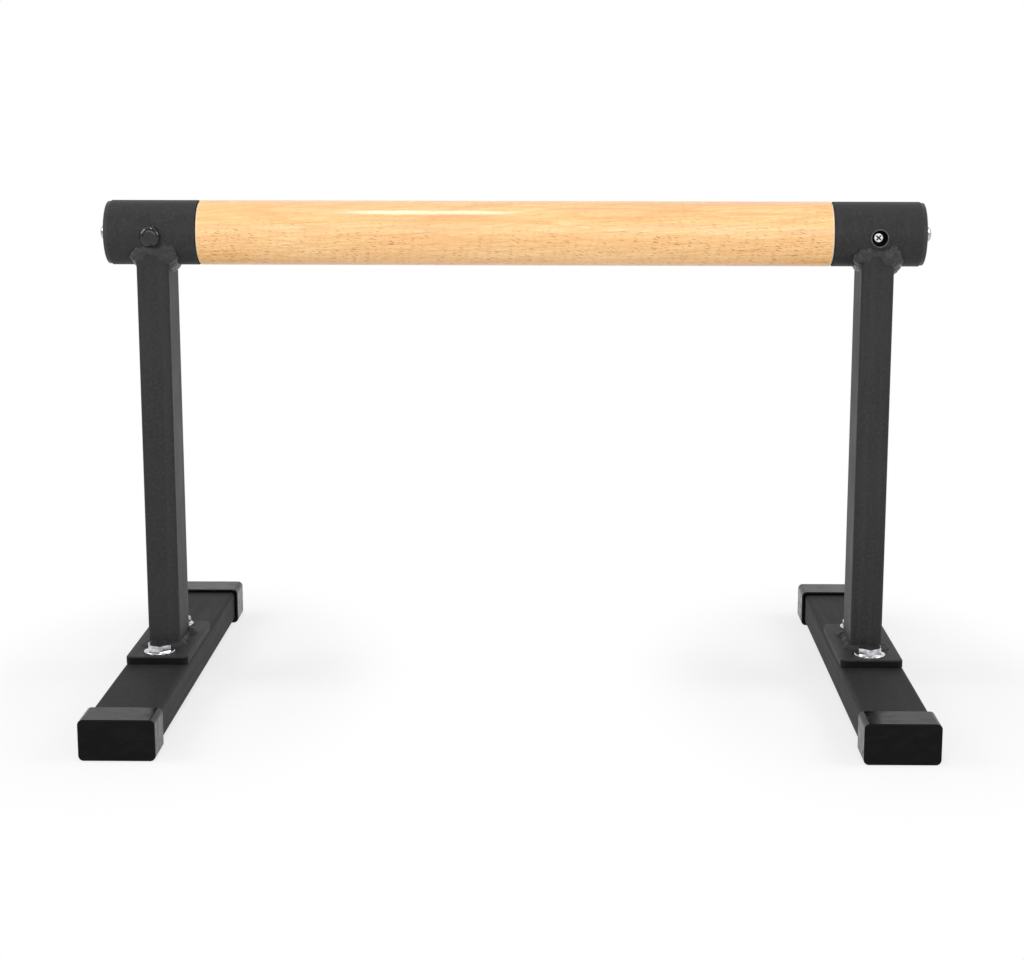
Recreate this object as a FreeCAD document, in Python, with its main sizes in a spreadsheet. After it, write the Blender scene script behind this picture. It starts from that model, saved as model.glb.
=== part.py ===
import FreeCAD, Part
import math
import os
import Sketcher
from FreeCAD import Placement, Rotation, Vector

# Parallette bar: a round wooden grip held in two steel sleeves, each on a welded post with a bolted foot.
# Millimetres. The origin is on the floor under the middle of the bar, +X runs along the bar, +Z is up.
# The left leg is modelled with its outer end towards -X.
# The right leg is the same, turned half a turn about Z.

SIZES = {
    # Grip bar, whose ends are turned down to tenons that go into the sleeves
    "grip_diameter": 40.0,
    "grip_axis_height": 289.0,
    "grip_shoulder_chamfer": 0.9,
    "shoulder_gap": 0.5,
    "tenon_clearance": 0.1,
    "tenon_end_chamfer": 1.5,
    # Sleeves, which are as thick as the grip outside
    "sleeve_length": 54.0,
    "sleeve_wall": 2.0,
    "sleeve_edge_round": 0.4,
    # Posts: rectangular tube, coped at the top to the sleeve
    "post_spacing": 448.0,
    "post_width": 20.0,
    "post_depth": 35.0,
    "post_wall": 1.5,
    "post_inner_radius": 0.5,
    # Weld beads, as runs of overlapping puddles
    "top_bead_radius": 4.4,
    "top_bead_sink": 2.0,
    "side_bead_radius": 4.6,
    "side_bead_sink": 1.2,
    "side_run_start_share": 1.2,
    "base_bead_radius": 4.0,
    "base_bead_sink": 1.5,
    "bead_pitch_share": 1.2,
    "bead_clearance": 0.3,
    # Base plates
    "plate_width": 39.0,
    "plate_end_margin": 11.2,
    "plate_thickness": 5.0,
    "plate_corner_radius": 4.0,
    "plate_edge_round": 1.1,
    # Foot tubes
    "foot_tube_width": 40.0,
    "foot_tube_height": 20.0,
    "foot_tube_length": 330.0,
    "foot_tube_wall": 1.5,
    "foot_tube_inner_radius": 1.0,
    # Rubber foot caps
    "cap_wall": 2.1,
    "cap_clearance": 0.1,
    "cap_end_wall": 3.0,
    "cap_length": 26.0,
    "cap_corner_radius": 3.2,
    "cap_end_round": 0.9,
    "cap_mouth_chamfer": 0.8,
    # Base bolts: hex flange bolts
    "bolt_diameter": 8.0,
    "bolt_length": 16.0,
    "bolt_post_distance": 16.3,
    "bolt_hole_clearance": 0.5,
    "bolt_tip_chamfer": 0.8,
    "bolt_flange_diameter": 19.4,
    "bolt_flange_edge": 1.4,
    "bolt_flange_round": 0.6,
    "bolt_cone_height": 0.6,
    "bolt_head_height": 5.6,
    "bolt_across_flats": 13.8,
    "bolt_head_bevel": 0.2,
    # Weld nuts
    "nut_across_flats": 13.0,
    "nut_height": 6.5,
    "thread_clearance": 0.1,
    # End caps and their screws
    "end_cap_step": 0.6,
    "end_cap_flange": 2.6,
    "end_cap_edge_round": 0.9,
    "end_cap_plug_length": 7.0,
    "end_cap_plug_wall": 2.0,
    "end_cap_clearance": 0.15,
    "end_cap_boss_wall": 2.4,
    "seat_gap": 0.3,
    "end_screw_diameter": 4.8,
    "end_screw_length": 19.0,
    "end_screw_tip_length": 4.0,
    "end_screw_head_diameter": 10.0,
    "end_screw_head_height": 5.0,
    "end_screw_head_round_share": 0.7,
    # Cross fasteners: a dome-headed barrel nut, and a screw in a flanged ferrule
    "cross_drop": 1.2,
    "cross_clearance": 0.1,
    "barrel_diameter": 8.0,
    "barrel_floor_gap": 0.6,
    "dome_diameter": 12.8,
    "dome_height": 4.0,
    "dome_round": 3.4,
    "dome_lip": 0.2,
    "flange_height": 1.2,
    "flange_round": 0.3,
    "ferrule_wall": 0.45,
    "ferrule_lip": 0.4,
    "ferrule_head_room": 1.5,
    "ferrule_floor": 1.4,
    "ferrule_mouth_round": 0.25,
    "cross_screw_diameter": 4.0,
    "cross_screw_length": 18.0,
    "cross_screw_head_diameter": 6.6,
    "cross_screw_head_height": 2.6,
    "cross_screw_head_round": 0.9,
    "cross_screw_sink": 6.0,
    # Cross recesses of the screws
    "recess_span_share": 0.62,
    "recess_arm_share": 0.15,
    "recess_depth_share": 0.6,
    # Length by which a cutting shape runs past what it cuts
    "cut_overrun": 5.0,
}

# Largest difference between two lengths that count as one
SAME_LENGTH = 1e-6

# Turn of each bolt head about its own axis, in degrees
BOLT_TURNS = {
    ("left", "front"): 42.0,
    ("left", "rear"): 12.0,
    ("right", "front"): 24.0,
    ("right", "rear"): 51.0,
}

# Turn of the cross recesses about the screws' axes, in degrees
RECESS_TURN = 42

# Puddles of the bead before and behind the sleeve: place across the post as a share of its half width, angle
# below the bar's axis as a share of the joint's, and radius as a share of the bead's
TOP_BEAD_SHARES = [
    (-1.05, 1.16, 0.95),
    (-0.55, 0.96, 1.0),
    (0.06, 0.98, 0.82),
    (0.68, 0.8, 1.2),
    (1.08, 1.12, 1.05),
]

# Radii of the puddles along a straight run of weld, used over and over
RUN_RADIUS_SHARES = [1.0, 0.92, 1.05, 0.95, 1.02, 0.9, 0.98]

doc = FreeCAD.newDocument("parallette_bar")
sheet = doc.addObject("Spreadsheet::Sheet", "Sizes")
for row, (alias, number) in enumerate(SIZES.items(), start=1):
    sheet.set(f"A{row}", alias)
    sheet.set(f"B{row}", str(number))
    sheet.setAlias(f"B{row}", alias)
doc.recompute()

# Sizes that follow from the sheet, as expressions
GRIP_RADIUS = "(Sizes.grip_diameter / 2)"
HALF_SPACING = "(Sizes.post_spacing / 2)"
HALF_SLEEVE = "(Sizes.sleeve_length / 2)"
SLEEVE_BORE_RADIUS = f"({GRIP_RADIUS} - Sizes.sleeve_wall)"
TENON_RADIUS = f"({SLEEVE_BORE_RADIUS} - Sizes.tenon_clearance)"
TENON_END = f"({HALF_SPACING} + {HALF_SLEEVE} - Sizes.end_cap_plug_length - Sizes.seat_gap)"
CAP_FIT = "(Sizes.cap_wall + Sizes.cap_clearance)"
FOOT_AXIS_HEIGHT = f"({CAP_FIT} + Sizes.foot_tube_height / 2)"
FOOT_TOP = f"({FOOT_AXIS_HEIGHT} + Sizes.foot_tube_height / 2)"
FOOT_CORNER_RADIUS = "(Sizes.foot_tube_inner_radius + Sizes.foot_tube_wall)"
PLATE_TOP = f"({FOOT_TOP} + Sizes.plate_thickness)"
POST_HEIGHT = f"(Sizes.grip_axis_height - {PLATE_TOP})"
POST_CORNER_RADIUS = "(Sizes.post_inner_radius + Sizes.post_wall)"
BOLT_PLACE = "(Sizes.post_depth / 2 + Sizes.bolt_post_distance)"
BOLT_HOLE_RADIUS = "(Sizes.bolt_diameter / 2 + Sizes.bolt_hole_clearance)"
PLATE_LENGTH = f"(2 * ({BOLT_PLACE} + Sizes.plate_end_margin))"
END_FACE = f"({HALF_SLEEVE} + Sizes.end_cap_flange)"
PILOT_RADIUS = "(Sizes.end_screw_diameter / 2 + Sizes.thread_clearance)"
FERRULE_BORE_RADIUS = "(Sizes.cross_screw_head_diameter / 2 + Sizes.ferrule_head_room)"
FERRULE_RADIUS = f"({FERRULE_BORE_RADIUS} + Sizes.ferrule_wall)"
FERRULE_HOLE_RADIUS = f"({FERRULE_RADIUS} + Sizes.cross_clearance)"
FERRULE_FLANGE_RADIUS = f"({FERRULE_RADIUS} + Sizes.ferrule_lip)"
DOME_FLANGE_RADIUS = "(Sizes.dome_diameter / 2 + Sizes.dome_lip)"
FLANGE_FACE = f"({GRIP_RADIUS} + Sizes.flange_height)"
SCREW_FACE = f"({FLANGE_FACE} - Sizes.cross_screw_sink)"
SCREW_SEAT = f"({SCREW_FACE} - Sizes.cross_screw_head_height)"
FERRULE_END = f"({SCREW_SEAT} - Sizes.ferrule_floor)"
BARREL_HOLE_RADIUS = "(Sizes.barrel_diameter / 2 + Sizes.cross_clearance)"
BARREL_BORE_RADIUS = "(Sizes.cross_screw_diameter / 2 + Sizes.thread_clearance)"
CROSS_HEIGHT = "(Sizes.grip_axis_height - Sizes.cross_drop)"

parts = []


def value(expression):
    return float(sheet.evalExpression(expression))


def new_body(label):
    body = doc.addObject("PartDesign::Body", label)
    body.Label = label
    parts.append(body)
    return body


def place(piece, x, y, z, turn):
    """Put a piece at three expressions, turned about the vertical by an angle in degrees."""
    piece.Placement = Placement(Vector(), Rotation(Vector(0, 0, 1), turn))
    piece.setExpression("Placement.Base.x", x)
    piece.setExpression("Placement.Base.y", y)
    piece.setExpression("Placement.Base.z", z)


def leg_x(side):
    """Where a leg stands along the bar."""
    return f"-{HALF_SPACING}" if side == "left" else HALF_SPACING


def leg_turn(side):
    """A leg's turn about the vertical, in degrees."""
    return 0 if side == "left" else 180


def place_on_leg(piece, side, height):
    """Put a piece made for the left leg on the named leg."""
    place(piece, leg_x(side), "0", height, leg_turn(side))


def place_at_bolt(piece, side, end, height, turn):
    """Put a piece on the axis of the bolt before or behind the named leg's post."""
    sign = "-" if end == "front" else ""
    place(piece, leg_x(side), f"{sign}{BOLT_PLACE}", height, turn)


def new_sketch(body, name, role, offset="0"):
    sketch = body.newObject("Sketcher::SketchObject", name)
    support = next(feature for feature in body.Origin.OriginFeatures if feature.Role == role)
    sketch.AttachmentSupport = [(support, "")]
    sketch.MapMode = "FlatFace"
    sketch.setExpression("AttachmentOffset.Base.z", offset)
    return sketch


def constrain(sketch, kind, *where, expression):
    index = sketch.addConstraint(Sketcher.Constraint(kind, *where, value(expression)))
    sketch.setExpression(f"Constraints[{index}]", expression)


def pin_point(sketch, geometry, point, x, y):
    """Hold one point of a sketch at two expressions, measured from the sketch's origin."""
    constrain(sketch, "DistanceX", -1, 1, geometry, point, expression=x)
    constrain(sketch, "DistanceY", -1, 1, geometry, point, expression=y)


def draw_outline(sketch, points):
    """Draw a closed outline of straight lines through points given as pairs of expressions."""
    corners = [Vector(value(x), value(y), 0) for x, y in points]
    ends = corners[1:] + corners[:1]
    lines = [sketch.addGeometry(Part.LineSegment(start, end)) for start, end in zip(corners, ends)]
    for line, following in zip(lines, lines[1:] + lines[:1]):
        sketch.addConstraint(Sketcher.Constraint("Coincident", line, 2, following, 1))
    for line, (x, y) in zip(lines, points):
        pin_point(sketch, line, 1, x, y)


def draw_circle(sketch, radius, x="0", y="0"):
    centre = Vector(value(x), value(y), 0)
    circle = sketch.addGeometry(Part.Circle(centre, Vector(0, 0, 1), value(radius)))
    constrain(sketch, "Radius", circle, expression=radius)
    pin_point(sketch, circle, 3, x, y)


def draw_rounded_rectangle(sketch, width, height, radius):
    """Draw a rectangle about the sketch's origin, with an arc at each corner."""
    inner_x = f"(({width}) / 2 - ({radius}))"
    inner_y = f"(({height}) / 2 - ({radius}))"
    arcs = []
    for quarter, (x_sign, y_sign) in enumerate([("", ""), ("-", ""), ("-", "-"), ("", "-")]):
        x = f"{x_sign}{inner_x}"
        y = f"{y_sign}{inner_y}"
        circle = Part.Circle(Vector(value(x), value(y), 0), Vector(0, 0, 1), value(radius))
        start = quarter * math.pi / 2
        arc = sketch.addGeometry(Part.ArcOfCircle(circle, start, start + math.pi / 2))
        constrain(sketch, "Radius", arc, expression=radius)
        pin_point(sketch, arc, 3, x, y)
        arcs.append(arc)
    for arc, following in zip(arcs, arcs[1:] + arcs[:1]):
        start = sketch.getPoint(arc, 2)
        end = sketch.getPoint(following, 1)
        line = sketch.addGeometry(Part.LineSegment(start, end))
        sketch.addConstraint(Sketcher.Constraint("Tangent", arc, 2, line, 1))
        sketch.addConstraint(Sketcher.Constraint("Tangent", line, 2, following, 1))


def draw_tube(sketch, width, height, wall, inner_radius):
    """Draw the section of a rectangular tube."""
    draw_rounded_rectangle(sketch, width, height, f"{inner_radius} + {wall}")
    draw_rounded_rectangle(sketch, f"{width} - 2 * {wall}", f"{height} - 2 * {wall}", inner_radius)


def draw_hexagon(sketch, across_flats):
    """Draw a hexagon about the sketch's origin, with two corners on the X axis."""
    corner = f"({across_flats} / (2 * cos(30)))"
    points = [(f"{corner} * cos({angle})", f"{corner} * sin({angle})") for angle in range(0, 360, 60)]
    draw_outline(sketch, points)


def draw_cross(sketch, head_diameter):
    """Draw the plus-shaped mouth of a screw's cross recess."""
    reach = f"({head_diameter} * Sizes.recess_span_share / 2)"
    arm = f"({head_diameter} * Sizes.recess_arm_share / 2)"
    quarter = [(reach, arm), (arm, arm), (arm, reach)]
    points = list(quarter)
    points += [(f"-{x}", y) for x, y in reversed(quarter)]
    points += [(f"-{x}", f"-{y}") for x, y in quarter]
    points += [(x, f"-{y}") for x, y in reversed(quarter)]
    cosine = f"cos({RECESS_TURN})"
    sine = f"sin({RECESS_TURN})"

    def turned(x, y):
        return f"({x}) * {cosine} - ({y}) * {sine}", f"({x}) * {sine} + ({y}) * {cosine}"

    draw_outline(sketch, [turned(x, y) for x, y in points])


def extrude(body, kind, sketch, length, symmetric, flip):
    feature = body.newObject(f"PartDesign::{kind}", f"{sketch.Name}_{kind.lower()}")
    feature.Profile = sketch
    feature.setExpression("Length", length)
    if symmetric:
        feature.SideType = "Symmetric"
    feature.Reversed = flip
    doc.recompute()


def pad(body, sketch, length, symmetric=False, flip=False):
    extrude(body, "Pad", sketch, length, symmetric, flip)


def pocket(body, sketch, depth, symmetric=False, flip=False):
    """Cut a sketch out of a body, and make sure that the cut took something away."""
    before = body.Shape.Volume
    extrude(body, "Pocket", sketch, depth, symmetric, flip)
    if body.Shape.Volume >= before:
        raise RuntimeError(f"{sketch.Name} cuts nothing")


def turn_about(body, kind, sketch, axis):
    """Add ("Revolution") or cut away ("Groove") what a sketch sweeps in a full turn about one of its axes."""
    feature = body.newObject(f"PartDesign::{kind}", f"{sketch.Name}_{kind.lower()}")
    feature.Profile = sketch
    feature.ReferenceAxis = (sketch, [axis])
    feature.Angle = 360
    doc.recompute()


def soften(body, kind, name, size, wanted):
    """Round ("Fillet") or bevel ("Chamfer") the edges of a body that a test picks."""
    base = body.Tip
    names = [f"Edge{number}" for number, edge in enumerate(base.Shape.Edges, start=1) if wanted(edge)]
    if not names:
        raise RuntimeError(f"{name} finds no edge")
    feature = body.newObject(f"PartDesign::{kind}", name)
    feature.Base = (base, names)
    feature.setExpression("Radius" if kind == "Fillet" else "Size", size)
    doc.recompute()


def same(length, other):
    return math.isclose(length, other, abs_tol=SAME_LENGTH)


def lies_at(edge, axis, level):
    """Tell whether a whole edge lies at one level along the axis numbered 0, 1 or 2."""
    return all(same(vertex.Point[axis], level) for vertex in edge.Vertexes)


def is_circle_at(edge, axis, level, radius):
    """Tell whether an edge is a circle of this radius, at this level along the axis numbered 0, 1 or 2."""
    if not isinstance(edge.Curve, Part.Circle) or not same(edge.Curve.Radius, radius):
        return False
    return same(edge.Curve.Center[axis], level)


def round_rim(body, name, size, axis, level, radius):
    """Round one circular rim, found by its level along an axis and its radius, both expressions."""
    rim_level = value(level)
    rim_radius = value(radius)
    soften(body, "Fillet", name, size, lambda edge: is_circle_at(edge, axis, rim_level, rim_radius))


def make_grip_bar():
    body = new_body("grip_bar")
    shoulder = f"({HALF_SPACING} - {HALF_SLEEVE} - Sizes.shoulder_gap)"
    bevel = "Sizes.grip_shoulder_chamfer"
    tenon_bevel = "Sizes.tenon_end_chamfer"
    right = [
        (f"{shoulder} - {bevel}", GRIP_RADIUS),
        (shoulder, f"{GRIP_RADIUS} - {bevel}"),
        (shoulder, TENON_RADIUS),
        (f"{TENON_END} - {tenon_bevel}", TENON_RADIUS),
        (TENON_END, f"{TENON_RADIUS} - {tenon_bevel}"),
        (TENON_END, "0"),
    ]
    left = [(f"-({x})", y) for x, y in reversed(right)]
    profile = new_sketch(body, "grip_profile", "XZ_Plane")
    draw_outline(profile, right + left)
    turn_about(body, "Revolution", profile, "H_Axis")
    # The left bar end takes its ferrule from behind and the right one from the front.
    for side, sign, ferrule_sign, flip in (("left", "-", "-", False), ("right", "", "", True)):
        hole = new_sketch(body, f"{side}_cross_hole", "XZ_Plane")
        draw_circle(hole, BARREL_HOLE_RADIUS, f"{sign}{HALF_SPACING}", "-Sizes.cross_drop")
        pocket(body, hole, f"2 * ({GRIP_RADIUS} + Sizes.cut_overrun)", symmetric=True)
        seat = new_sketch(body, f"{side}_ferrule_seat", "XZ_Plane", f"{ferrule_sign}{FERRULE_END}")
        draw_circle(seat, FERRULE_HOLE_RADIUS, f"{sign}{HALF_SPACING}", "-Sizes.cross_drop")
        pocket(body, seat, f"{GRIP_RADIUS} + Sizes.cut_overrun", flip=flip)
        pilot_end = f"({HALF_SPACING} + {END_FACE} - Sizes.end_screw_length - Sizes.seat_gap)"
        pilot = new_sketch(body, f"{side}_pilot_hole", "YZ_Plane", f"{sign}{pilot_end}")
        draw_circle(pilot, PILOT_RADIUS)
        pocket(body, pilot, f"{TENON_END} - {pilot_end} + Sizes.cut_overrun", flip=flip)
    place(body, "0", "0", "Sizes.grip_axis_height", 0)


def make_sleeve(side):
    label = f"{side}_sleeve"
    body = new_body(label)
    section = new_sketch(body, f"{label}_section", "YZ_Plane")
    draw_circle(section, GRIP_RADIUS)
    draw_circle(section, SLEEVE_BORE_RADIUS)
    pad(body, section, "Sizes.sleeve_length", symmetric=True)
    edge_round = "Sizes.sleeve_edge_round"
    for rim, sign in (("outer", "-"), ("inner", "")):
        round_rim(body, f"{label}_{rim}_rim", edge_round, 0, f"{sign}{HALF_SLEEVE}", GRIP_RADIUS)
    reach = f"{GRIP_RADIUS} + Sizes.cut_overrun"
    barrel_hole = new_sketch(body, f"{label}_barrel_hole", "XZ_Plane")
    draw_circle(barrel_hole, BARREL_HOLE_RADIUS, "0", "-Sizes.cross_drop")
    pocket(body, barrel_hole, reach, flip=True)
    ferrule_hole = new_sketch(body, f"{label}_ferrule_hole", "XZ_Plane")
    draw_circle(ferrule_hole, FERRULE_HOLE_RADIUS, "0", "-Sizes.cross_drop")
    pocket(body, ferrule_hole, reach)
    place_on_leg(body, side, "Sizes.grip_axis_height")


def make_post(side):
    body = new_body(f"{side}_post")
    section = new_sketch(body, f"{side}_post_section", "XY_Plane")
    draw_tube(section, "Sizes.post_width", "Sizes.post_depth", "Sizes.post_wall", "Sizes.post_inner_radius")
    pad(body, section, POST_HEIGHT)
    cope = new_sketch(body, f"{side}_post_cope", "YZ_Plane")
    draw_circle(cope, GRIP_RADIUS, "0", POST_HEIGHT)
    pocket(body, cope, "Sizes.post_width + Sizes.cut_overrun", symmetric=True)
    place_on_leg(body, side, PLATE_TOP)


def make_base_plate(side):
    body = new_body(f"{side}_base_plate")
    shape = new_sketch(body, f"{side}_plate_shape", "XY_Plane")
    draw_rounded_rectangle(shape, "Sizes.plate_width", PLATE_LENGTH, "Sizes.plate_corner_radius")
    for sign in ("-", ""):
        draw_circle(shape, BOLT_HOLE_RADIUS, "0", f"{sign}{BOLT_PLACE}")
    pad(body, shape, "Sizes.plate_thickness")
    top = value("Sizes.plate_thickness")
    hole_radius = value(BOLT_HOLE_RADIUS)

    def top_rim(edge):
        return lies_at(edge, 2, top) and not is_circle_at(edge, 2, top, hole_radius)

    soften(body, "Fillet", f"{side}_plate_rim", "Sizes.plate_edge_round", top_rim)
    place_on_leg(body, side, FOOT_TOP)


def make_foot_tube(side):
    body = new_body(f"{side}_foot_tube")
    section = new_sketch(body, f"{side}_foot_section", "XZ_Plane")
    width = "Sizes.foot_tube_width"
    height = "Sizes.foot_tube_height"
    draw_tube(section, width, height, "Sizes.foot_tube_wall", "Sizes.foot_tube_inner_radius")
    pad(body, section, "Sizes.foot_tube_length", symmetric=True)
    holes = new_sketch(body, f"{side}_foot_bolt_holes", "XY_Plane")
    for sign in ("-", ""):
        draw_circle(holes, BOLT_HOLE_RADIUS, "0", f"{sign}{BOLT_PLACE}")
    pocket(body, holes, f"{height} / 2 + Sizes.cut_overrun", flip=True)
    place_on_leg(body, side, FOOT_AXIS_HEIGHT)


def make_foot_cap(side, end):
    """A cap with its mouth towards +Y and its origin on the tube's axis, at the closed end's outer face."""
    label = f"{side}_{end}_foot_cap"
    body = new_body(label)

    def draw_around_tube(sketch, room, corner_radius):
        width = f"Sizes.foot_tube_width + 2 * {room}"
        height = f"Sizes.foot_tube_height + 2 * {room}"
        draw_rounded_rectangle(sketch, width, height, corner_radius)

    outside = new_sketch(body, f"{label}_outside", "XZ_Plane")
    draw_around_tube(outside, CAP_FIT, "Sizes.cap_corner_radius")
    pad(body, outside, "Sizes.cap_length", flip=True)
    soften(body, "Fillet", f"{label}_rim", "Sizes.cap_end_round", lambda edge: lies_at(edge, 1, 0))
    inside = new_sketch(body, f"{label}_inside", "XZ_Plane", "-Sizes.cap_end_wall")
    draw_around_tube(inside, "Sizes.cap_clearance", f"{FOOT_CORNER_RADIUS} + Sizes.cap_clearance")
    pocket(body, inside, "Sizes.cap_length")
    mouth = value("Sizes.cap_length")
    middle_of_wall = value(f"Sizes.foot_tube_width / 2 + {CAP_FIT} - Sizes.cap_wall / 2")
    middle_of_top = value(f"Sizes.foot_tube_height / 2 + {CAP_FIT} - Sizes.cap_wall / 2")

    def mouth_edge(edge):
        centre = edge.BoundBox.Center
        inside_the_wall = abs(centre.x) < middle_of_wall and abs(centre.z) < middle_of_top
        return lies_at(edge, 1, mouth) and inside_the_wall

    soften(body, "Chamfer", f"{label}_mouth", "Sizes.cap_mouth_chamfer", mouth_edge)
    end_face = "(Sizes.foot_tube_length / 2 + Sizes.cap_end_wall)"
    if end == "front":
        place(body, leg_x(side), f"-{end_face}", FOOT_AXIS_HEIGHT, 0)
    else:
        place(body, leg_x(side), end_face, FOOT_AXIS_HEIGHT, 180)


def make_base_bolt(side, end):
    """A hex flange bolt that stands on the plate, with its origin under the flange."""
    label = f"{side}_{end}_base_bolt"
    body = new_body(label)
    flat = "(Sizes.bolt_across_flats / 2)"
    corner = f"({flat} / cos(30))"
    head = "Sizes.bolt_head_height"
    bevel_start = f"({head} - Sizes.bolt_head_bevel)"
    hexagon = new_sketch(body, f"{label}_hexagon", "XY_Plane")
    draw_hexagon(hexagon, "Sizes.bolt_across_flats")
    pad(body, hexagon, head)
    bevel = new_sketch(body, f"{label}_bevel", "XZ_Plane")
    draw_outline(bevel, [
        (flat, head),
        (f"{corner} + Sizes.cut_overrun", head),
        (f"{corner} + Sizes.cut_overrun", bevel_start),
        (corner, bevel_start),
    ])
    turn_about(body, "Groove", bevel, "V_Axis")
    shank = "(Sizes.bolt_diameter / 2)"
    tip = "Sizes.bolt_tip_chamfer"
    flange = "(Sizes.bolt_flange_diameter / 2)"
    flange_top = "(Sizes.bolt_flange_edge + Sizes.bolt_cone_height)"
    turned = new_sketch(body, f"{label}_shank", "XZ_Plane")
    draw_outline(turned, [
        ("0", "-Sizes.bolt_length"),
        (f"{shank} - {tip}", "-Sizes.bolt_length"),
        (shank, f"{tip} - Sizes.bolt_length"),
        (shank, "0"),
        (flange, "0"),
        (flange, "Sizes.bolt_flange_edge"),
        (flat, flange_top),
        ("0", flange_top),
    ])
    turn_about(body, "Revolution", turned, "V_Axis")
    round_rim(body, f"{label}_flange_rim", "Sizes.bolt_flange_round", 2, "Sizes.bolt_flange_edge", flange)
    place_at_bolt(body, side, end, PLATE_TOP, BOLT_TURNS[side, end])


def make_weld_nut(side, end):
    """A nut under the foot tube's top wall, with its origin on its upper face."""
    label = f"{side}_{end}_weld_nut"
    body = new_body(label)
    section = new_sketch(body, f"{label}_section", "XY_Plane")
    draw_hexagon(section, "Sizes.nut_across_flats")
    draw_circle(section, "Sizes.bolt_diameter / 2 + Sizes.thread_clearance")
    pad(body, section, "Sizes.nut_height", flip=True)
    place_at_bolt(body, side, end, f"{FOOT_TOP} - Sizes.foot_tube_wall", 0)


def make_end_cap(side):
    """A turned plug with a flange on the sleeve's end, a hollow shank and a boss for the screw."""
    label = f"{side}_end_cap"
    body = new_body(label)
    flange = f"({GRIP_RADIUS} - Sizes.end_cap_step)"
    plug = f"({SLEEVE_BORE_RADIUS} - Sizes.end_cap_clearance)"
    hollow = f"({plug} - Sizes.end_cap_plug_wall)"
    hole = f"({PILOT_RADIUS} + Sizes.thread_clearance)"
    boss = f"({hole} + Sizes.end_cap_boss_wall)"
    outer = f"-{END_FACE}"
    seat = f"-{HALF_SLEEVE}"
    plug_end = f"(Sizes.end_cap_plug_length - {HALF_SLEEVE})"
    profile = new_sketch(body, f"{label}_profile", "XZ_Plane")
    draw_outline(profile, [
        (outer, hole),
        (outer, flange),
        (seat, flange),
        (seat, plug),
        (plug_end, plug),
        (plug_end, hollow),
        (seat, hollow),
        (seat, boss),
        (plug_end, boss),
        (plug_end, hole),
    ])
    turn_about(body, "Revolution", profile, "H_Axis")
    round_rim(body, f"{label}_rim", "Sizes.end_cap_edge_round", 0, outer, flange)
    place_on_leg(body, side, "Sizes.grip_axis_height")


def make_end_cap_screw(side):
    """A round-head screw through the end cap into the bar's end."""
    label = f"{side}_end_cap_screw"
    body = new_body(label)
    height = "Sizes.end_screw_head_height"
    head = "(Sizes.end_screw_head_diameter / 2)"
    shank = "(Sizes.end_screw_diameter / 2)"
    seat = f"-{END_FACE}"
    top = f"({seat} - {height})"
    tip = f"({seat} + Sizes.end_screw_length)"
    profile = new_sketch(body, f"{label}_profile", "XZ_Plane")
    draw_outline(profile, [
        (top, "0"),
        (top, head),
        (seat, head),
        (seat, shank),
        (f"{tip} - Sizes.end_screw_tip_length", shank),
        (tip, "0"),
    ])
    turn_about(body, "Revolution", profile, "H_Axis")
    round_rim(body, f"{label}_rim", f"{height} * Sizes.end_screw_head_round_share", 0, top, head)
    recess = new_sketch(body, f"{label}_recess", "YZ_Plane", top)
    draw_cross(recess, "Sizes.end_screw_head_diameter")
    pocket(body, recess, f"{height} * Sizes.recess_depth_share", flip=True)
    place_on_leg(body, side, "Sizes.grip_axis_height")


def start_saddle_flange(body, label, radius, sign, flip):
    """Start a body with a round flange whose inner face follows the sleeve.

    The body's origin is on the axis of the cross hole, which lies under the bar's axis by the drop.
    """
    disc = new_sketch(body, f"{label}_flange", "XZ_Plane")
    draw_circle(disc, radius)
    pad(body, disc, FLANGE_FACE, flip=flip)
    round_rim(body, f"{label}_flange_rim", "Sizes.flange_round", 1, f"{sign}{FLANGE_FACE}", radius)
    saddle = new_sketch(body, f"{label}_saddle", "YZ_Plane")
    draw_circle(saddle, GRIP_RADIUS, "0", "Sizes.cross_drop")
    pocket(body, saddle, f"2 * ({radius} + Sizes.cut_overrun)", symmetric=True)


def make_barrel_nut(side):
    """A dome head on the front of the left sleeve, with a tapped barrel through the bar."""
    label = f"{side}_barrel_nut"
    body = new_body(label)
    start_saddle_flange(body, label, DOME_FLANGE_RADIUS, "-", flip=False)
    flange_face = f"-{FLANGE_FACE}"
    dome_top = f"-({FLANGE_FACE} + Sizes.dome_height)"
    barrel_end = f"({FERRULE_END} - Sizes.barrel_floor_gap)"
    bore_end = f"({SCREW_SEAT} - Sizes.cross_screw_length - Sizes.seat_gap)"
    dome = "(Sizes.dome_diameter / 2)"
    barrel = "(Sizes.barrel_diameter / 2)"
    profile = new_sketch(body, f"{label}_profile", "XY_Plane")
    draw_outline(profile, [
        ("0", dome_top),
        (dome, dome_top),
        (dome, flange_face),
        (barrel, flange_face),
        (barrel, barrel_end),
        (BARREL_BORE_RADIUS, barrel_end),
        (BARREL_BORE_RADIUS, bore_end),
        ("0", bore_end),
    ])
    turn_about(body, "Revolution", profile, "V_Axis")
    round_rim(body, f"{label}_dome", "Sizes.dome_round", 1, dome_top, dome)
    place_on_leg(body, side, CROSS_HEIGHT)


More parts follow.
